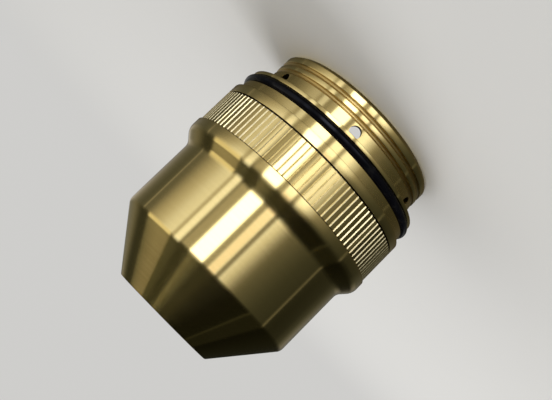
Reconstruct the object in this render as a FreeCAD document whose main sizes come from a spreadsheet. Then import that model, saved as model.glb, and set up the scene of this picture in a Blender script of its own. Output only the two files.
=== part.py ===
import FreeCAD, Part
import os
import Sketcher

# Plasma shield cap: one turned brass body and the rubber ring that seals it in the torch.
# Millimetres; +Z runs along the axis from the neck's open rim to the nose; the rim rests on z = 0.

doc = FreeCAD.newDocument("plasma_shield_cap")

# Driving sizes
sheet = doc.addObject("Spreadsheet::Sheet", "sizes")
SIZES = [
    # radial steps, from the bore outwards
    ("bore_d", 37.0),
    ("neck_wall", 2.65),
    ("seal_step", 2.95),
    ("grip_step", 0.9),
    ("land_step", 0.35),
    ("body_wall", 4.5),
    ("nose_bore_d", 20.0),
    ("nose_wall", 2.75),
    # lengths along the axis, from the rim to the nose
    ("neck_len", 8.7),
    ("seal_len", 5.2),
    ("band_len", 2.3),
    ("knurl_len", 8.6),
    ("land_len", 2.77),
    ("shoulder_len", 2.64),
    ("body_len", 17.3),
    ("cone_len", 12.49),
    ("bore_stop", 1.2),
    ("nose_bore_len", 3.0),
    # rounds and broken edges
    ("shoulder_round", 2.4),
    ("corner_round", 1.0),
    ("nose_round", 0.3),
    ("bore_mouth", 0.5),
    ("rim_chamfer_in", 1.1),
    ("rim_chamfer_up", 0.9),
    # knurl and the relief beside it
    ("knurl_count", 114),
    ("knurl_depth", 0.2),
    ("knurl_turn_deg", 1.43),
    ("relief_depth", 0.5),
    ("relief_floor", 0.2),
    # sealing ring and its groove
    ("lip_len", 0.85),
    ("cord_d", 2.0),
    ("cord_proud", 0.58),
    ("cord_side_gap", 0.1),
    # grooves and ports in the neck
    ("neck_groove_z", 2.85),
    ("neck_groove_pitch", 2.08),
    ("neck_groove_count", 2),
    ("neck_groove_width", 1.0),
    ("neck_groove_depth", 0.45),
    ("port_d", 2.7),
    ("port_count", 6),
    ("port_gap", 0.25),
    # gallery turned in the bore behind the ports
    ("gallery_wall", 1.2),
    ("gallery_over", 0.3),
    ("gallery_under", 0.75),
    # how far a cutting section stands clear of the surface it cuts
    ("cut_clear", 0.4),
]
for row, (alias, value) in enumerate(SIZES, start=1):
    sheet.set("A%d" % row, alias)
    sheet.set("B%d" % row, str(value))
    sheet.setAlias("B%d" % row, alias)
doc.recompute()

# Radii of the turned steps
BORE_R = "sizes.bore_d / 2"
NECK_R = BORE_R + " + sizes.neck_wall"
SEAL_R = NECK_R + " + sizes.seal_step"
GRIP_R = SEAL_R + " + sizes.grip_step"
LAND_R = GRIP_R + " + sizes.land_step"
BODY_R = BORE_R + " + sizes.body_wall"
NOSE_BORE_R = "sizes.nose_bore_d / 2"
NOSE_R = NOSE_BORE_R + " + sizes.nose_wall"

# Heights of the turned steps
SEAL_Z = "sizes.neck_len"
GRIP_Z = SEAL_Z + " + sizes.seal_len"
KNURL_Z = GRIP_Z + " + sizes.band_len"
LAND_Z = KNURL_Z + " + sizes.knurl_len"
SHOULDER_Z = LAND_Z + " + sizes.land_len"
BODY_Z = SHOULDER_Z + " + sizes.shoulder_len"
CONE_Z = BODY_Z + " + sizes.body_len"
NOSE_Z = CONE_Z + " + sizes.cone_len"

# Groove of the sealing ring: as deep as the cord, less what stands proud
GLAND_R = SEAL_R + " + sizes.cord_proud - sizes.cord_d"
GLAND_LOW = SEAL_Z + " + sizes.lip_len"
GLAND_TOP = GLAND_LOW + " + sizes.cord_d + 2 * sizes.cord_side_gap"


def plane(body, role):
    """One of the body's own origin planes or axes."""
    return next(f for f in body.Origin.OriginFeatures if f.Role == role)


def new_sketch(body, name, role="XZ_Plane"):
    sketch = body.newObject("Sketcher::SketchObject", name)
    sketch.AttachmentSupport = [(plane(body, role), "")]
    sketch.MapMode = "FlatFace"
    return sketch


def drive(sketch, kind, refs, name, expression):
    """Adds one named dimension and ties it to the sheet."""
    value = float(sheet.evalExpression(expression))
    index = sketch.addConstraint(Sketcher.Constraint(kind, *refs, value))
    sketch.renameConstraint(index, name)
    sketch.setExpression("Constraints." + name, expression)


def outline(sketch, points):
    """Closed run of straight lines; each point is a name with its radius and height."""
    places = [(float(sheet.evalExpression(across)), float(sheet.evalExpression(up)) if up else 0.0)
              for _, across, up in points]
    count = len(points)
    for k in range(count):
        a, b = places[k], places[(k + 1) % count]
        sketch.addGeometry(Part.LineSegment(FreeCAD.Vector(*a, 0), FreeCAD.Vector(*b, 0)), False)
    for k in range(count):
        sketch.addConstraint(Sketcher.Constraint("Coincident", k, 2, (k + 1) % count, 1))
    for k, (name, across, up) in enumerate(points):
        drive(sketch, "DistanceX", (-1, 1, k, 1), name + "_x", across)
        if up:
            drive(sketch, "DistanceY", (-1, 1, k, 1), name + "_y", up)
        else:
            sketch.addConstraint(Sketcher.Constraint("PointOnObject", k, 1, -1))


def disc(sketch, name, across, up, radius):
    """One full circle for a round section or a drilled hole."""
    if across:
        x = float(sheet.evalExpression(across))
    else:
        x = 0.0
    centre = FreeCAD.Vector(x, float(sheet.evalExpression(up)), 0)
    size = float(sheet.evalExpression(radius))
    sketch.addGeometry(Part.Circle(centre, FreeCAD.Vector(0, 0, 1), size), False)
    if across:
        drive(sketch, "DistanceX", (-1, 1, 0, 3), name + "_x", across)
    else:
        sketch.addConstraint(Sketcher.Constraint("PointOnObject", 0, 3, -2))
    drive(sketch, "DistanceY", (-1, 1, 0, 3), name + "_y", up)
    drive(sketch, "Radius", (0,), name + "_r", radius)


def turn(body, kind, name, sketch):
    """Revolution or Groove of a sketch about the part's axis."""
    feature = body.newObject(kind, name)
    feature.Profile = sketch
    feature.ReferenceAxis = (sketch, ["V_Axis"])
    feature.Angle = 360
    sketch.Visibility = False
    doc.recompute()
    return feature


def ring_edge(feature, radius, height):
    """Name of the turned edge with this radius at this height."""
    r = float(sheet.evalExpression(radius))
    z = float(sheet.evalExpression(height)) if height else 0.0
    for index, edge in enumerate(feature.Shape.Edges, start=1):
        curve = edge.Curve
        if isinstance(curve, Part.Circle) and abs(curve.Radius - r) < 1e-4 and abs(curve.Center.z - z) < 1e-4:
            return "Edge%d" % index
    raise ValueError("no edge at radius %s, height %s" % (radius, height))


def dress(body, kind, name, base, edges, prop, expression):
    """Fillet or Chamfer on turned edges, given by radius and height."""
    feature = body.newObject(kind, name)
    feature.Base = (base, [ring_edge(base, *edge) for edge in edges])
    setattr(feature, prop, float(sheet.evalExpression(expression)))
    feature.setExpression(prop, expression)
    doc.recompute()
    return feature


def pattern_round(body, name, original, count):
    feature = body.newObject("PartDesign::PolarPattern", name)
    feature.Originals = [original]
    feature.Axis = (plane(body, "Z_Axis"), [""])
    feature.Angle = 360
    feature.Occurrences = int(float(sheet.evalExpression(count)))
    feature.setExpression("Occurrences", count)
    body.Tip = feature
    doc.recompute()
    return feature


# Cap body: turned profile, outside from the rim to the nose and back along the bore
cap = doc.addObject("PartDesign::Body", "cap_body")
cap.Label = "cap_body"
turned = new_sketch(cap, "turned_profile")
outline(turned, [
    ("bore_mouth", BORE_R, ""),
    ("rim", NECK_R + " - sizes.rim_chamfer_in", ""),
    ("neck_low", NECK_R, "sizes.rim_chamfer_up"),
    ("neck_top", NECK_R, SEAL_Z),
    ("seal_low", SEAL_R, SEAL_Z),
    ("seal_top", SEAL_R, GRIP_Z),
    ("grip_low", GRIP_R, GRIP_Z),
    ("grip_top", GRIP_R, LAND_Z),
    ("land_low", LAND_R, LAND_Z),
    ("land_top", LAND_R, SHOULDER_Z),
    ("shoulder", BODY_R, BODY_Z),
    ("corner", BODY_R, CONE_Z),
    ("nose", NOSE_R, NOSE_Z),
    ("nose_mouth", NOSE_BORE_R, NOSE_Z),
    ("nose_bore", NOSE_BORE_R, NOSE_Z + " - sizes.nose_bore_len"),
    ("bore_top", BORE_R, CONE_Z + " - sizes.bore_stop"),
])
blank = turn(cap, "PartDesign::Revolution", "turned_blank", turned)

# Rounded edges left by the form tool, and the broken edge of the bore mouth
shoulder = dress(cap, "PartDesign::Fillet", "shoulder_rounds", blank,
                 [(LAND_R, SHOULDER_Z), (BODY_R, BODY_Z)], "Radius", "sizes.shoulder_round")
corner = dress(cap, "PartDesign::Fillet", "corner_round", shoulder,
               [(BODY_R, CONE_Z)], "Radius", "sizes.corner_round")
nose = dress(cap, "PartDesign::Fillet", "nose_round", corner,
             [(NOSE_R, NOSE_Z), (NOSE_BORE_R, NOSE_Z)], "Radius", "sizes.nose_round")
mouth = dress(cap, "PartDesign::Chamfer", "bore_mouth_chamfer", nose,
              [(BORE_R, "")], "Size", "sizes.bore_mouth")

# Groove that holds the sealing ring
gland = new_sketch(cap, "gland_section")
outline(gland, [
    ("floor_low", GLAND_R, GLAND_LOW),
    ("open_low", SEAL_R + " + sizes.cut_clear", GLAND_LOW),
    ("open_top", SEAL_R + " + sizes.cut_clear", GLAND_TOP),
    ("floor_top", GLAND_R, GLAND_TOP),
])
turn(cap, "PartDesign::Groove", "ring_gland", gland)

# Relief between the knurl and the plain band: straight on the band's side, sloped on the knurl's side
relief = new_sketch(cap, "relief_section")
outline(relief, [
    ("floor_low", GRIP_R + " - sizes.relief_depth", KNURL_Z + " - sizes.relief_floor"),
    ("open_low", GRIP_R + " + sizes.cut_clear", KNURL_Z + " - sizes.relief_floor"),
    ("open_top", GRIP_R + " + sizes.cut_clear", KNURL_Z + " + sizes.relief_depth + sizes.cut_clear"),
    ("floor_top", GRIP_R + " - sizes.relief_depth", KNURL_Z),
])
turn(cap, "PartDesign::Groove", "knurl_relief", relief)

# Gallery in the bore behind the ports, so that the wall they pass through is thin
gallery = new_sketch(cap, "gallery_section")
GALLERY_R = NECK_R + " - sizes.gallery_wall"
GALLERY_TOP = SEAL_Z + " - sizes.port_gap + sizes.gallery_over"
GALLERY_LOW = SEAL_Z + " - sizes.port_gap - sizes.port_d - sizes.gallery_under"
outline(gallery, [
    ("open_low", BORE_R + " - sizes.cut_clear", GALLERY_LOW),
    ("wall_low", GALLERY_R, GALLERY_LOW),
    ("wall_top", GALLERY_R, GALLERY_TOP),
    ("open_top", BORE_R + " - sizes.cut_clear", GALLERY_TOP),
])
turn(cap, "PartDesign::Groove", "port_gallery", gallery)

# Two round-bottomed grooves turned in the neck
NECK_GROOVE_R = ("(sizes.neck_groove_width * sizes.neck_groove_width / 4"
                 " + sizes.neck_groove_depth * sizes.neck_groove_depth) / (2 * sizes.neck_groove_depth)")
neck_cut = new_sketch(cap, "neck_groove_section")
disc(neck_cut, "groove", NECK_R + " - sizes.neck_groove_depth + " + NECK_GROOVE_R,
     "sizes.neck_groove_z", NECK_GROOVE_R)
neck_groove = turn(cap, "PartDesign::Groove", "neck_groove", neck_cut)
neck_row = cap.newObject("PartDesign::LinearPattern", "neck_grooves")
neck_row.Originals = [neck_groove]
neck_row.Direction = (plane(cap, "Z_Axis"), [""])
neck_row.Length = 1.0
neck_row.setExpression("Length", "sizes.neck_groove_pitch * (sizes.neck_groove_count - 1)")
neck_row.Occurrences = int(float(sheet.evalExpression("sizes.neck_groove_count")))
neck_row.setExpression("Occurrences", "sizes.neck_groove_count")
cap.Tip = neck_row
doc.recompute()

# Ports drilled through the neck close under the sealing land
before = cap.Shape.Volume
port_hole = new_sketch(cap, "port_section")
disc(port_hole, "port", "", SEAL_Z + " - sizes.port_gap - sizes.port_d / 2", "sizes.port_d / 2")
port = cap.newObject("PartDesign::Pocket", "port")
port.Profile = port_hole
port.Type = "Length"
port.Length = 1.0
port.setExpression("Length", NECK_R + " + sizes.cut_clear")
port.Reversed = True
port_hole.Visibility = False
doc.recompute()
pattern_round(cap, "ports", port, "sizes.port_count")
if cap.Shape.Volume > before - 1.0:
    raise RuntimeError("the ports cut nothing")

# Straight knurl: a right-angled furrow cut once and repeated round the grip
before = cap.Shape.Volume
furrow_cut = new_sketch(cap, "furrow_section", "XY_Plane")
furrow_cut.AttachmentOffset = FreeCAD.Placement(FreeCAD.Vector(0, 0, 1), FreeCAD.Rotation())
furrow_cut.setExpression("AttachmentOffset.Base.z", KNURL_Z)
furrow_cut.setExpression("AttachmentOffset.Rotation.Angle", "sizes.knurl_turn_deg * 1deg")
FURROW_HALF = "sizes.knurl_depth + sizes.cut_clear"
outline(furrow_cut, [
    ("apex", GRIP_R + " - sizes.knurl_depth", ""),
    ("left", GRIP_R + " + sizes.cut_clear", FURROW_HALF),
    ("right", GRIP_R + " + sizes.cut_clear", "-(" + FURROW_HALF + ")"),
])
furrow = cap.newObject("PartDesign::Pocket", "furrow")
furrow.Profile = furrow_cut
furrow.Type = "Length"
furrow.Length = 1.0
furrow.setExpression("Length", "sizes.knurl_len")
furrow.Reversed = True
furrow_cut.Visibility = False
doc.recompute()
pattern_round(cap, "knurl", furrow, "sizes.knurl_count")
if cap.Shape.Volume > before - 1.0:
    raise RuntimeError("the knurl cut nothing")

# Sealing ring: round rubber cord seated on the floor of its groove
ring = doc.addObject("PartDesign::Body", "seal_ring")
ring.Label = "seal_ring"
cord = new_sketch(ring, "cord_section")
disc(cord, "cord", GLAND_R + " + sizes.cord_d / 2", GLAND_LOW + " + sizes.cord_side_gap + sizes.cord_d / 2",
     "sizes.cord_d / 2")
turn(ring, "PartDesign::Revolution", "cord_ring", cord)
doc.recompute()

# Checks, then one file for each piece
for item in doc.Objects:
    if "Invalid" in item.State or "Error" in item.State:
        raise RuntimeError("%s did not build: %s" % (item.Name, item.State))
os.makedirs("parts", exist_ok=True)
for body in (cap, ring):
    shape = body.Shape
    if shape.isNull() or not shape.isValid() or len(shape.Solids) != 1:
        raise RuntimeError("%s is not one valid solid" % body.Label)
    shape.exportStep("parts/%s.step" % body.Label)
    print(body.Label, round(shape.Volume, 1), shape.BoundBox)
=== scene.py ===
import math

import bmesh
import bpy
from mathutils import Matrix


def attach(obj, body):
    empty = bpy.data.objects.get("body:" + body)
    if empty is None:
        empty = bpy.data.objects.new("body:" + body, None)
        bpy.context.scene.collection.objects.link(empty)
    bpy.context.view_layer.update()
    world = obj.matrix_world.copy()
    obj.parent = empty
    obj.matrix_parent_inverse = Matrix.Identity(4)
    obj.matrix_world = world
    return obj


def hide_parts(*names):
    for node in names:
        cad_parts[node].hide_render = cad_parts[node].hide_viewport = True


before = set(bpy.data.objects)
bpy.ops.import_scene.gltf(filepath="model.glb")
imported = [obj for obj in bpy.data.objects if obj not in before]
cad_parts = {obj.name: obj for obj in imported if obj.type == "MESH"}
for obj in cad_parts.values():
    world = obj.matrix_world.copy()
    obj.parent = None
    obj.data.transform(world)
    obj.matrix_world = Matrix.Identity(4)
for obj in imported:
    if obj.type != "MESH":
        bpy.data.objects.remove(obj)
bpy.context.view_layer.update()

# Cap body: one piece of brass bar, bored, turned to its steps with a form tool at the shoulder,
# knurled, and drilled with six ports under the sealing land. Sizes are in millimetres.
MM = 0.001
BORE_R, GALLERY_R, NECK_R, GLAND_R, SEAL_R = 18.5, 19.95, 21.15, 22.68, 24.1
RELIEF_R, GRIP_R, LAND_R, BODY_R, NOSE_R, NOSE_BORE_R = 24.5, 25.0, 25.35, 23.0, 12.75, 10.0
SEAL_Z, BAND_Z, RELIEF_Z, LAND_Z = 8.7, 13.9, 16.0, 24.8
SHOULDER_Z, BODY_Z, CONE_Z, NOSE_Z, BORE_END_Z = 27.57, 30.21, 47.5, 59.99, 46.3
SHOULDER_REACH, CORNER_REACH = 0.921, 0.7
KNURL_COUNT = 114
KNURL_TURN = math.radians(1.43)
KNURL_LOW_Z, RUN_OUT_Z = 16.4, 16.25
FURROW_DEPTH = 0.2
FURROW_FLOOR_R = GRIP_R - FURROW_DEPTH
PITCH = 2 * math.pi / KNURL_COUNT
COLUMNS = 6
SHARP = math.radians(35)


def neck_groove(height):
    """Section of one round-bottomed groove in the neck, 1 mm wide and 0.45 mm deep, its mouth rounded."""
    arc_r, half_arc = 0.503, 84
    centre_r = NECK_R + 0.053
    return [(centre_r - arc_r * math.cos(math.radians(t)), height + arc_r * math.sin(math.radians(t)),
             0.11 if abs(t) == half_arc else 0) for t in range(-half_arc, half_arc + 1, 14)]


# Each corner: radius, height, and how far its edge break or round reaches along the metal on each side
CAP_PROFILE = [
    # rim with its chamfer, and the neck with two grooves
    (19.0, 0.0, 0.05), (20.05, 0.0, 0.08), (NECK_R, 0.9, 0.1), *neck_groove(2.85), *neck_groove(4.93),
    # sealing land and the ring's gland
    (NECK_R, SEAL_Z, 0.05), (SEAL_R, SEAL_Z, 0.08), (SEAL_R, 9.55, 0.08), (GLAND_R, 9.55, 0.1),
    (GLAND_R, 11.75, 0.1), (SEAL_R, 11.75, 0.08), (SEAL_R, BAND_Z, 0.03),
    # plain band, relief and knurl
    (GRIP_R, BAND_Z, 0.08), (GRIP_R, RELIEF_Z, 0.05), (RELIEF_R, RELIEF_Z, 0), (RELIEF_R, RELIEF_Z + 0.1, 0),
    (FURROW_FLOOR_R, RUN_OUT_Z, 0), (GRIP_R, KNURL_LOW_Z, 0), (GRIP_R, LAND_Z, 0),
    # land, shoulder, body and cone
    (LAND_R, LAND_Z, 0.06), (LAND_R, SHOULDER_Z, SHOULDER_REACH), (BODY_R, BODY_Z, SHOULDER_REACH),
    (BODY_R, CONE_Z, CORNER_REACH), (NOSE_R, NOSE_Z, 0.14),
    # nose bore, conical floor, bore, and the gallery behind the ports
    (NOSE_BORE_R, NOSE_Z, 0.3), (NOSE_BORE_R, 57.0, 0), (BORE_R, BORE_END_Z, 0), (BORE_R, 8.75, 0),
    (GALLERY_R, 8.75, 0), (GALLERY_R, 5.0, 0), (BORE_R, 5.0, 0), (BORE_R, 0.5, 0.05),
]


def turned_sector(profile):
    """One pitch of the cap: the closed profile with its corners rounded, swept through a furrow's width."""
    mesh = bmesh.new()
    corners = [mesh.verts.new((r * MM, 0, z * MM)) for r, z, _ in profile]
    for k, corner in enumerate(corners):
        mesh.edges.new((corners[k - 1], corner))
    for reach in sorted({p[2] for p in profile if p[2]}):
        marked = [v for v, p in zip(corners, profile) if p[2] == reach]
        bmesh.ops.bevel(mesh, geom=marked, offset=reach * MM, offset_type="OFFSET",
                        segments=8 if reach > 0.3 else 3, profile=0.5, affect="VERTICES", material=-1)
    bmesh.ops.rotate(mesh, verts=mesh.verts[:], cent=(0, 0, 0), matrix=Matrix.Rotation(-PITCH / 2, 3, "Z"))
    bmesh.ops.spin(mesh, geom=mesh.verts[:] + mesh.edges[:], cent=(0, 0, 0), axis=(0, 0, 1),
                   dvec=(0, 0, 0), angle=PITCH, steps=COLUMNS, use_merge=False)
    return mesh


def press_furrow(mesh):
    """Presses one right-angled furrow of the straight knurl into the sector, running out in the relief."""
    step, near = PITCH / COLUMNS, 0.01
    # Columns counted from the furrow's floor line: distance from that line, and radius
    furrow = {0: (0.0, FURROW_FLOOR_R), 1: (FURROW_DEPTH, GRIP_R)}
    for v in mesh.verts:
        r, z = math.hypot(v.co.x, v.co.y) / MM, v.co.z / MM
        column = round(math.atan2(v.co.y, v.co.x) / step)
        if abs(column) not in furrow:
            continue
        side = 1 if column > 0 else -1
        across, depth = furrow[abs(column)]
        if abs(r - FURROW_FLOOR_R) < near and abs(z - RUN_OUT_Z) < near:
            across, depth = 0.0, FURROW_FLOOR_R
        elif not (abs(r - GRIP_R) < near and KNURL_LOW_Z - near < z < LAND_Z + near):
            continue
        turn = side * across / GRIP_R - column * step
        bmesh.ops.rotate(mesh, verts=[v], cent=(0, 0, 0), matrix=Matrix.Rotation(turn, 3, "Z"))
        bmesh.ops.scale(mesh, verts=[v], vec=(depth / r, depth / r, 1))


def repeated(mesh, start):
    """The sector repeated once for each furrow of the knurl, and sewn into one closed skin."""
    bmesh.ops.rotate(mesh, verts=mesh.verts[:], cent=(0, 0, 0), matrix=Matrix.Rotation(start, 3, "Z"))
    bmesh.ops.spin(mesh, geom=mesh.faces[:], cent=(0, 0, 0), axis=(0, 0, 1), dvec=(0, 0, 0),
                   angle=2 * math.pi - PITCH, steps=KNURL_COUNT - 1, use_duplicate=True)
    bmesh.ops.remove_doubles(mesh, verts=mesh.verts[:], dist=2e-7)
    bmesh.ops.recalc_face_normals(mesh, faces=mesh.faces[:])


def finished(name, mesh, sharp):
    """The mesh as a smooth-shaded piece that keeps its edges sharper than the given angle."""
    data = bpy.data.meshes.new(name)
    mesh.to_mesh(data)
    mesh.free()
    data.shade_smooth()
    data.set_sharp_from_angle(angle=sharp)
    piece = bpy.data.objects.new(name, data)
    bpy.context.scene.collection.objects.link(piece)
    return piece


turned = turned_sector(CAP_PROFILE)
press_furrow(turned)
repeated(turned, KNURL_TURN)
cap = finished("turned_cap", turned, SHARP)

# The drill that makes the ports, one pass for each pair across the neck
PORT_R, PORT_Z, PORT_COUNT = 1.35, 7.1, 6
drill = bmesh.new()
for k in range(PORT_COUNT // 2):
    aimed = Matrix.Rotation(2 * math.pi * k / PORT_COUNT, 4, "Z") @ Matrix.Rotation(math.pi / 2, 4, "X")
    across_neck = Matrix.Translation((0, 0, PORT_Z * MM)) @ aimed
    bmesh.ops.create_cone(drill, cap_ends=True, segments=40, radius1=PORT_R * MM, radius2=PORT_R * MM,
                          depth=46 * MM, matrix=across_neck)
drill_piece = finished("port_drill", drill, SHARP)
cut = cap.modifiers.new("ports", "BOOLEAN")
cut.operation = "DIFFERENCE"
cut.solver = "MANIFOLD"
cut.object = drill_piece
drilled = bpy.data.meshes.new_from_object(cap.evaluated_get(bpy.context.evaluated_depsgraph_get()))
cap.modifiers.clear()
cap.data = drilled
bpy.data.objects.remove(drill_piece)
drilled.shade_smooth()
drilled.set_sharp_from_angle(angle=SHARP)


class Sock:
    """A shader socket that can be added, multiplied and so on; each operation adds its Math node."""

    def __init__(self, nodes, links, socket):
        self.nodes, self.links, self.socket = nodes, links, socket

    def node(self, kind, out=0, settings=(), **sockets):
        """Any other node: its type, its settings first, then the values or links of its sockets."""
        made = self.nodes.new(kind)
        for key, value in dict(settings).items():
            if key == "stops":
                ramp = made.color_ramp
                while len(ramp.elements) < len(value):
                    ramp.elements.new(0.5)
                for element, (position, colour) in zip(ramp.elements, value):
                    element.position = position
                    element.color = colour
            else:
                setattr(made, key, value)
        for key, value in sockets.items():
            name = key.replace("_", " ")
            target = made.inputs[int(key[1:])] if key[0] == "i" and key[1:].isdigit() else made.inputs[name]
            if isinstance(value, Sock):
                self.links.new(value.socket, target)
            else:
                target.default_value = value
        return Sock(self.nodes, self.links, made.outputs[out])

    def maths(self, operation, *values):
        return self.node("ShaderNodeMath", settings={"operation": operation},
                         **{"i%d" % k: value for k, value in enumerate(values)})

    def __add__(self, other):
        return self.maths("ADD", self, other)

    __radd__ = __add__

    def __sub__(self, other):
        return self.maths("SUBTRACT", self, other)

    def __rsub__(self, other):
        return self.maths("SUBTRACT", other, self)

    def __mul__(self, other):
        return self.maths("MULTIPLY", self, other)

    __rmul__ = __mul__

    def __truediv__(self, other):
        return self.maths("DIVIDE", self, other)

    def clamped(self, low, high):
        """0 below low, 1 above high, smooth between."""
        return self.node("ShaderNodeMapRange", settings={"interpolation_type": "SMOOTHSTEP"},
                         Value=self, From_Min=low, From_Max=high)

    def between(self, start, full, until, gone):
        """1 from full to until, and fading to 0 at start and at gone."""
        return self.clamped(start, full) * (1 - self.clamped(until, gone))

    def mix(self, colour_a, colour_b):
        """Colour a where this is 0, colour b where it is 1."""
        return self.node("ShaderNodeMix", out=2, settings={"data_type": "RGBA"},
                         i0=self, i6=colour_a, i7=colour_b)

    def noise(self, scale, detail, roughness=0.5):
        """Noise over the piece, about 0.5 on average, at the coordinates that this socket holds."""
        return self.node("ShaderNodeTexNoise", Vector=self, Scale=scale, Detail=detail, Roughness=roughness)

    def rings(self, scale, detail):
        """Noise along one measure only, so that it lies in rings round a turned piece."""
        return self.node("ShaderNodeTexNoise", settings={"noise_dimensions": "1D"},
                         W=self * scale, Scale=1.0, Detail=detail)


def start_material(name):
    """An empty material, its output and the Object coordinates it reads."""
    material = bpy.data.materials.new(name)
    material.use_nodes = True
    tree = material.node_tree
    tree.nodes.clear()
    output = tree.nodes.new("ShaderNodeOutputMaterial")
    place = Sock(tree.nodes, tree.links, tree.nodes.new("ShaderNodeTexCoord").outputs["Object"])
    return material, tree, output, place


def turned_brass():
    """Clear yellow brass from the lathe: fine rings round the axis and a few faint handling marks."""
    material, tree, output, place = start_material("turned_brass")
    axes = [place.node("ShaderNodeSeparateXYZ", out=k, Vector=place) for k in range(3)]
    radius = place.maths("SQRT", axes[0] * axes[0] + axes[1] * axes[1]) / MM
    height = axes[2] / MM
    # One measure for the tool's rings, on cylinders, cones and flat faces alike
    along = height + radius * 0.83
    feed = along.rings(7.0, 2.0)
    bands = along.rings(1.3, 4.0)
    hands = place.noise(75.0, 4.0, 0.6)
    specks = place.noise(900.0, 2.0)

    # Painted shade: the colour is darkened where shade falls in the neck's grooves, the ports' walls, the
    # relief beside the knurl, the corner where the knurl meets the land, and the bore; the grooves and the
    # bore are also rougher
    # Near-black brown that paints shade into the ports' walls, the relief and the corner at the land's foot
    painted_shade_colour = (0.05, 0.035, 0.018, 1)
    grooves = (height.between(0.9, 1.1, SEAL_Z - 0.1, SEAL_Z)
               * (1 - radius.clamped(NECK_R - 0.2, NECK_R - 0.03)))
    port = (height.between(PORT_Z - PORT_R - 0.05, PORT_Z - PORT_R, PORT_Z + PORT_R, PORT_Z + PORT_R + 0.05)
            * (1 - radius.clamped(NECK_R - 0.17, NECK_R - 0.05)))
    relief = (height.between(RELIEF_Z - 0.05, RELIEF_Z, RUN_OUT_Z - 0.1, RUN_OUT_Z)
              * (1 - radius.clamped(GRIP_R - 0.2, GRIP_R - 0.05)))
    land_foot = (height.between(LAND_Z - 0.25, LAND_Z - 0.18, LAND_Z + 0.04, LAND_Z + 0.1)
                 * (1 - radius.clamped(GRIP_R + 0.02, GRIP_R + 0.1)))
    bore = ((1 - radius.clamped(GALLERY_R + 0.05, GALLERY_R + 0.15))
            * (1 - height.clamped(BORE_END_Z + 0.2, BORE_END_Z + 0.7)))

    # Turned faces blur their reflections round the axis only
    tone = (feed - 0.5) * 0.3 + (bands - 0.5) * 0.16 + (hands - 0.5) * 0.14 + 0.5
    clean = tone.clamped(0.3, 0.7).mix((0.77, 0.575, 0.205, 1), (0.85, 0.645, 0.25, 1))
    # Painted shade: the neck's grooves are coloured darker brass
    shaded_grooves = (grooves * 0.9).mix(clean, (0.5, 0.35, 0.12, 1))
    # Painted shade in the ports' walls, the relief beside the knurl and the corner where the knurl meets the
    # land
    dark = (port + relief + land_foot * 0.8).clamped(0.0, 1.0).mix(shaded_grooves, painted_shade_colour)
    # Painted shade: the bore and the gallery behind the ports are coloured near-black
    colour = bore.mix(dark, (0.07, 0.05, 0.025, 1))
    rough = 0.17 + (hands - 0.5) * 0.08 + (feed - 0.5) * 0.04 + grooves * 0.2 + bore * 0.25
    bumps = (feed - 0.5) * 0.6 + (bands - 0.5) * 0.5 + (specks - 0.5) * 0.1
    normal = bumps.node("ShaderNodeBump", Strength=0.12, Distance=0.00001, Height=bumps)
    turned_face = place.node("ShaderNodeBsdfPrincipled", Base_Color=colour, Metallic=1.0, Roughness=rough,
                             Anisotropic=1.0, Anisotropic_Rotation=0.25, Normal=normal)

    # The knurl's flanks are rolled and the neck's grooves scraped, so they blur alike in every direction
    grain = specks.clamped(0.35, 0.65).mix((0.76, 0.64, 0.34, 1), (0.86, 0.73, 0.41, 1))
    # Painted shade here too: the neck's grooves and the ports' walls are coloured darker
    rough_tone = port.mix(grooves.mix(grain, (0.62, 0.43, 0.14, 1)), painted_shade_colour)
    rough_face = place.node("ShaderNodeBsdfPrincipled", Base_Color=rough_tone, Metallic=1.0,
                            Roughness=0.36 + (specks - 0.5) * 0.1)
    flank = (height.between(RUN_OUT_Z - 0.05, RUN_OUT_Z, LAND_Z - 0.3, LAND_Z - 0.25)
             * (1 - radius.clamped(GRIP_R - 0.025, GRIP_R - 0.01)))
    brass = flank.node("ShaderNodeMixShader", i0=flank + grooves * 0.6, i1=turned_face, i2=rough_face)
    tree.links.new(brass.socket, output.inputs["Surface"])
    return material


cap.data.materials.clear()
cap.data.materials.append(turned_brass())
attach(cap, "root")
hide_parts("cap_body")

# Sealing ring: round black rubber cord, moulded as one ring, lightly greased, stretched into its groove
# and standing a little proud of the land.
RING_R, RING_Z, CORD_R = 23.68, 10.65, 1.0
ring_mesh = bmesh.new()
cord_place = Matrix.Translation((RING_R * MM, 0, RING_Z * MM)) @ Matrix.Rotation(math.pi / 2, 4, "X")
bmesh.ops.create_circle(ring_mesh, segments=40, radius=CORD_R * MM, matrix=cord_place)
bmesh.ops.spin(ring_mesh, geom=ring_mesh.verts[:] + ring_mesh.edges[:], cent=(0, 0, 0), axis=(0, 0, 1),
               dvec=(0, 0, 0), angle=2 * math.pi, steps=360, use_merge=True)
bmesh.ops.recalc_face_normals(ring_mesh, faces=ring_mesh.faces[:])
ring = finished("rubber_ring", ring_mesh, math.radians(60))


def seal_rubber():
    """Black rubber with a thin film of grease and a little dust."""
    material, tree, output, place = start_material("seal_rubber")
    dust = place.noise(420.0, 5.0, 0.65)
    smears = place.noise(90.0, 3.0)
    colour = dust.clamped(0.5, 0.75).mix((0.004, 0.004, 0.006, 1), (0.012, 0.012, 0.013, 1))
    rough = 0.14 + (smears - 0.5) * 0.08 + (dust - 0.5) * 0.04
    normal = dust.node("ShaderNodeBump", Strength=0.15, Distance=0.00005, Height=dust)
    rubber = place.node("ShaderNodeBsdfPrincipled", Base_Color=colour, Roughness=rough, IOR=1.22,
                        Normal=normal)
    tree.links.new(rubber.socket, output.inputs["Surface"])
    return material


ring.data.materials.append(seal_rubber())
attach(ring, "root")
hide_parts("seal_ring")

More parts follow.
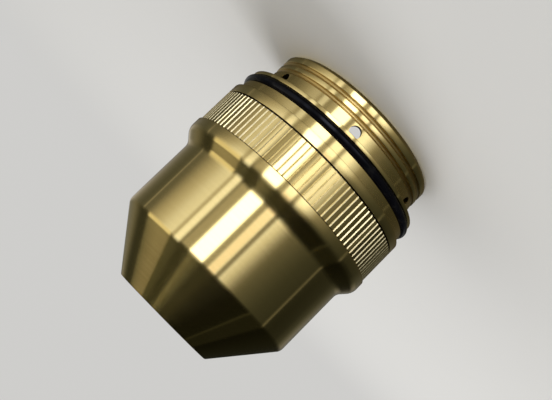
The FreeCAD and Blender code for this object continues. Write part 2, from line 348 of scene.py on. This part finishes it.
# The camera stands close over the cap and is turned so that the nose points down to the left.
TURN, YAW, DOWN, ROLL = (math.radians(d) for d in (1.9, -0.24, 9.15, 225.51))
CAMERA_AWAY, CAMERA_UP = 0.1956, 0.0563
FOCAL_PIXELS, PICTURE_WIDTH, SENSOR = 900, 552, 36
camera_data = bpy.data.cameras.new("view")
camera_data.sensor_width = SENSOR
camera_data.lens = FOCAL_PIXELS / PICTURE_WIDTH * SENSOR
camera_data.clip_start = 0.01
camera = bpy.data.objects.new("view", camera_data)
bpy.context.scene.collection.objects.link(camera)
camera.matrix_world = (Matrix.Rotation(TURN, 4, "Z") @ Matrix.Translation((0, -CAMERA_AWAY, CAMERA_UP))
                       @ Matrix.Rotation(YAW, 4, "Z") @ Matrix.Rotation(math.pi / 2 - DOWN, 4, "X")
                       @ Matrix.Rotation(ROLL, 4, "Z"))
bpy.context.scene.camera = camera

# Plain pale floor under the cap, and the same plain tone all round it. The floor glows evenly far away,
# so that it has no horizon, and inside the cap's rim, which the front port looks down to.
PALE = (0.62, 0.615, 0.6, 1)
world = bpy.data.worlds.new("surround")
bpy.context.scene.world = world
world.use_nodes = True
world.node_tree.nodes["Background"].inputs["Color"].default_value = PALE
world.node_tree.nodes["Background"].inputs["Strength"].default_value = 1.0
floor_mesh = bmesh.new()
bmesh.ops.create_circle(floor_mesh, cap_ends=True, segments=96, radius=2.5)
floor = finished("floor", floor_mesh, SHARP)
material, tree, output, place = start_material("pale_floor")
far = place.node("ShaderNodeVectorMath", out=1, settings={"operation": "LENGTH"}, i0=place)
paper = place.noise(60.0, 3.0)
paint = ((paper - 0.5) * 0.2 + 0.5).mix((0.70, 0.695, 0.68, 1), (0.74, 0.735, 0.72, 1))
near_floor = place.node("ShaderNodeBsdfDiffuse", Color=paint)
glowing_floor = place.node("ShaderNodeEmission", Color=PALE, Strength=1.0)
inside_rim = 1 - far.clamped(0.0192, 0.0195)
blend = place.node("ShaderNodeMixShader", i0=far.clamped(0.1, 0.7) + inside_rim,
                   i1=near_floor, i2=glowing_floor)
tree.links.new(blend.socket, output.inputs["Surface"])
floor.data.materials.append(material)
floor.visible_glossy = False

# Light tent that only the gloss sees. Its white and grey panels arch over the cap side by side, so a
# place on any turned surface mirrors the panel that its own angle round the axis names. A stop holds the
# angle in degrees from the camera's side, and the panel's brightness there.
NECK_PANELS = [
    (-90, 0.12), (-75, 0.14), (-68, 0.075), (-58, 0.036), (-46, 0.035), (-42, 0.04), (-41.7, 0.11),
    (-40.7, 0.11), (-40.2, 0.045), (-32, 0.07), (-25, 0.13), (-18, 0.3), (-15.8, 0.45), (-12, 1.15),
    (-9, 1.9), (-5.8, 1.9), (-4.6, 0.45), (-3.6, 0.45), (-2.7, 2.0), (1.4, 2.0), (2.3, 0.44), (4.8, 0.44),
    (5.6, 3.4), (13.9, 3.4), (14.8, 0.68), (18, 0.52), (19.3, 0.34), (20.8, 0.5), (21.8, 1.1), (24.2, 1.0),
    (25.4, 0.42), (26.6, 0.55),
]
NECK_RIGHT_PANELS = [
    (26.6, 0.55), (28, 0.72), (31, 0.68), (36, 0.46), (42, 0.25), (46, 0.185), (50, 0.145), (52.4, 0.14),
    (52.9, 0.22), (53.7, 0.22), (54.2, 0.11), (60, 0.09), (66, 0.12), (75, 0.24), (90, 0.22),
]
BODY_PANELS = [
    (-90, 0.14), (-76, 0.15), (-71, 0.2), (-67, 0.13), (-63, 0.055), (-56, 0.023), (-48, 0.018),
    (-42.2, 0.022), (-41.9, 0.18), (-41, 0.18), (-40.6, 0.036), (-30, 0.05), (-20, 0.09), (-16, 0.12),
    (-13.6, 0.2), (-9, 0.62), (-6, 0.9), (-5, 0.22), (-3.5, 0.22), (-2.7, 1.22), (1.4, 1.22), (2.2, 0.42),
    (4.9, 0.42), (5.8, 3.4), (13.5, 3.4), (14.3, 0.42), (18.9, 0.48), (19.5, 0.25), (20.6, 0.34),
    (21.4, 1.3), (24.4, 1.3), (25.2, 0.52),
]
BODY_RIGHT_PANELS = [
    (25.2, 0.52), (26.4, 0.62), (27.4, 1.05), (32, 0.9), (37, 0.64), (42, 0.44), (46, 0.25), (49, 0.16),
    (52.2, 0.14), (52.7, 0.3), (53.5, 0.3), (54, 0.11), (58, 0.09), (63, 0.13), (68, 0.23), (73, 0.36),
    (80, 0.5), (90, 0.4),
]
CANOPY_PANELS = [
    (-90, 0.015), (-60, 0.011), (-43, 0.006), (-41, 0.015), (-31, 0.014), (-30.4, 0.035), (-29.6, 0.035),
    (-29, 0.01), (-14, 0.008), (-6, 0.015), (0, 0.034), (5, 0.032), (7, 0.06), (9, 0.09), (12.4, 0.15),
    (13.2, 0.13), (14.2, 0.05), (20, 0.04), (22, 0.06), (26, 0.065), (27, 0.08), (27.8, 0.22), (36, 0.22),
    (42, 0.17), (45.6, 0.11), (47.4, 0.045), (56, 0.038), (60, 0.055), (66, 0.13), (71, 0.22), (80, 0.28),
    (90, 0.24),
]
BRIGHTEST = 3.4
TENT_R = 2.0
# Level part of the direction from the cap to the camera, which stands about 10 degrees above it
TO_CAMERA = 0.985
# The camera is near, so a panel lies this much further round than the place that mirrors it
SPREAD = 1.06
tent_mesh = bmesh.new()
bmesh.ops.create_uvsphere(tent_mesh, u_segments=64, v_segments=32, radius=TENT_R)
bmesh.ops.rotate(tent_mesh, verts=tent_mesh.verts[:], cent=(0, 0, 0), matrix=Matrix.Rotation(TURN, 3, "Z"))
bmesh.ops.reverse_faces(tent_mesh, faces=tent_mesh.faces[:])
tent = finished("light_tent", tent_mesh, math.pi)
material, tree, output, place = start_material("tent_panels")
aim = place.node("ShaderNodeMapping", settings={"vector_type": "POINT"}, Vector=place,
                 Rotation=(0, 0, -TURN), Scale=(1 / TENT_R, 1 / TENT_R, 1 / TENT_R))
x, y, z = [place.node("ShaderNodeSeparateXYZ", out=k, Vector=aim) for k in range(3)]
side = place.maths("ARCTAN2", x, TO_CAMERA - y)
outward = x * place.maths("SINE", side) - y * place.maths("COSINE", side)
arch = place.maths("ARCTAN2", z, outward) * (180 / math.pi)
angle = side * (180 / math.pi / SPREAD)
panel = angle / 180 + 0.5


def panel_levels(stops):
    """The ramp of one row; dim panels take the room's faint green and bright ones are a cooler white."""
    tones = []
    for degrees, level in stops:
        share, dim, bright = level / BRIGHTEST, max(0, 1 - level / 0.2), min(1, max(0, level - 0.5) / 0.4)
        green, blue = 1 + 0.14 * dim + 0.07 * bright, 1 + 0.3 * bright
        tones.append((degrees / 180 + 0.5, (share, share * green, share * blue, 1)))
    return panel.node("ShaderNodeValToRGB", settings={"stops": tones}, Fac=panel)


def row_of_panels(left, right):
    """One row of panels, from two ramps that meet at the second one's first stop."""
    return angle.maths("GREATER_THAN", angle, right[0][0]).mix(panel_levels(left), panel_levels(right))


def tinted(share, colour, tint):
    """The colour, multiplied by the tint as far as share says."""
    return panel.node("ShaderNodeMix", out=2, settings={"data_type": "RGBA", "blend_type": "MULTIPLY"},
                      i0=share, i6=colour, i7=tint)


# From the floor up: a dim skirt, the row that the neck and grip mirror, the row that the body mirrors, and
# the dark canopy that the shoulder and cone mirror. One body panel is amber, one reaches a little higher
# into the canopy, a tall pale panel stands behind the next, and a grey wall stands at the right.
neck_row = row_of_panels(NECK_PANELS, NECK_RIGHT_PANELS)
skirt = arch.clamped(-48, -26).mix((0.02, 0.018, 0.012, 1), neck_row)
amber = angle.between(-3.2, -2.6, 1.4, 2)
body_row = tinted(amber, row_of_panels(BODY_PANELS, BODY_RIGHT_PANELS), (1.0, 0.88, 0.78, 1))
rows = arch.clamped(-11, -8.5).mix(skirt, body_row)
tall_panel = angle.between(26.5, 28, 45, 48) * (1 - arch.clamped(48, 62))
right_wall = angle.clamped(52, 68) * (1 - arch.clamped(68, 77))
warm = tinted(1.0, panel_levels(CANOPY_PANELS), (1.0, 0.96, 0.82, 1))
canopy = right_wall.mix(tall_panel.mix(warm, (0.29, 0.28, 0.24, 1)), (0.05, 0.05, 0.042, 1))
raised = angle.between(19.5, 21.5, 25.5, 27)
levels = (arch - raised * 16).clamped(4, 38).mix(rows, canopy)
glow = place.node("ShaderNodeEmission", Color=levels, Strength=BRIGHTEST)
tree.links.new(glow.socket, output.inputs["Surface"])
tent.data.materials.append(material)
material.cycles.emission_sampling = "NONE"
tent.visible_camera = False
tent.visible_diffuse = False
tent.visible_shadow = False
tent.visible_transmission = False

# One broad soft lamp, high up at the back left of the cap, for the shadow on the floor.
LAMP_AROUND, LAMP_LEAN, LAMP_AWAY = math.radians(-50), math.radians(-35), 0.9
lamp_data = bpy.data.lights.new("soft_lamp", "AREA")
lamp_data.shape = "DISK"
lamp_data.size = 0.5
lamp_data.energy = 3.0
lamp = bpy.data.objects.new("soft_lamp", lamp_data)
bpy.context.scene.collection.objects.link(lamp)
lamp.matrix_world = (Matrix.Rotation(LAMP_AROUND, 4, "Z") @ Matrix.Rotation(LAMP_LEAN, 4, "Y")
                     @ Matrix.Translation((0, 0, LAMP_AWAY)))
lamp.visible_glossy = False

bpy.context.scene.view_settings.view_transform = "Standard"
